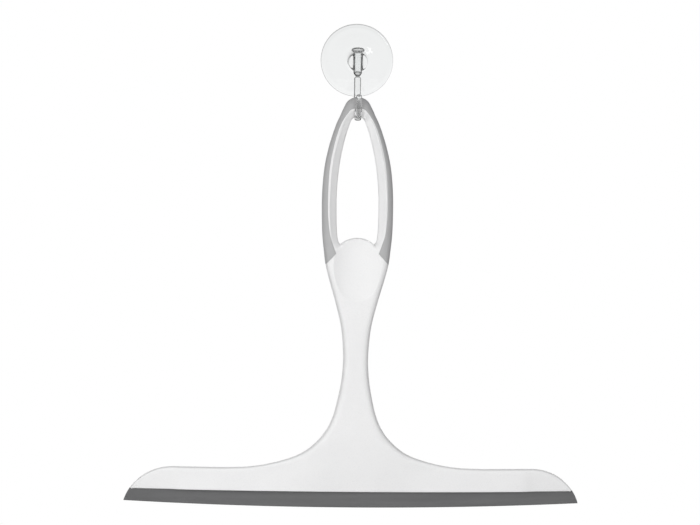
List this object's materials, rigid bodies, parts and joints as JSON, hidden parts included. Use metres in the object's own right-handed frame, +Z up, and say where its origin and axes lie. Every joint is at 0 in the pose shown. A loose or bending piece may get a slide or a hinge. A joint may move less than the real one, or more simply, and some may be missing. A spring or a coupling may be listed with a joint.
{
  "type": "window cleaning squeegee",
  "caption": "T-shaped squeegee with a looped grip handle and rubber blade, hanging on a clear suction cup with a J-shaped hook.",
  "frame": {"origin": "middle of the suction cup's wall face", "axes": "+X along the blade to the right as seen from the front, +Y into the wall, +Z up"},
  "size_m": [0.2486, 0.0364, 0.2626],
  "materials": {
    "suction_cup": "clear soft PVC, smooth",
    "hook": "clear hard plastic, polished",
    "squeegee_body": "white moulded plastic, satin",
    "grip": "light grey soft-touch elastomer, matt",
    "blade": "dark grey rubber, smooth matt"
  },
  "bodies": {
    "suction_cup": {"suction_cup": "suction_cup"},
    "hook": {"hook": "hook"},
    "squeegee": {"squeegee_body": "squeegee_body", "grip": "grip", "blade": "blade"}
  },
  "joints": [
    {"name": "hook_swivel", "type": "hinge", "parent": "suction_cup", "child": "hook", "pos_m": [0, -0.0105, 0], "axis": [0, 0, 1], "range_deg": [-90, 90]},
    {"name": "lift_off", "type": "slide", "parent": "hook", "child": "squeegee", "axis": [0, -0.4226, 0.9063], "range_m": [0, 0.06]}
  ]
}
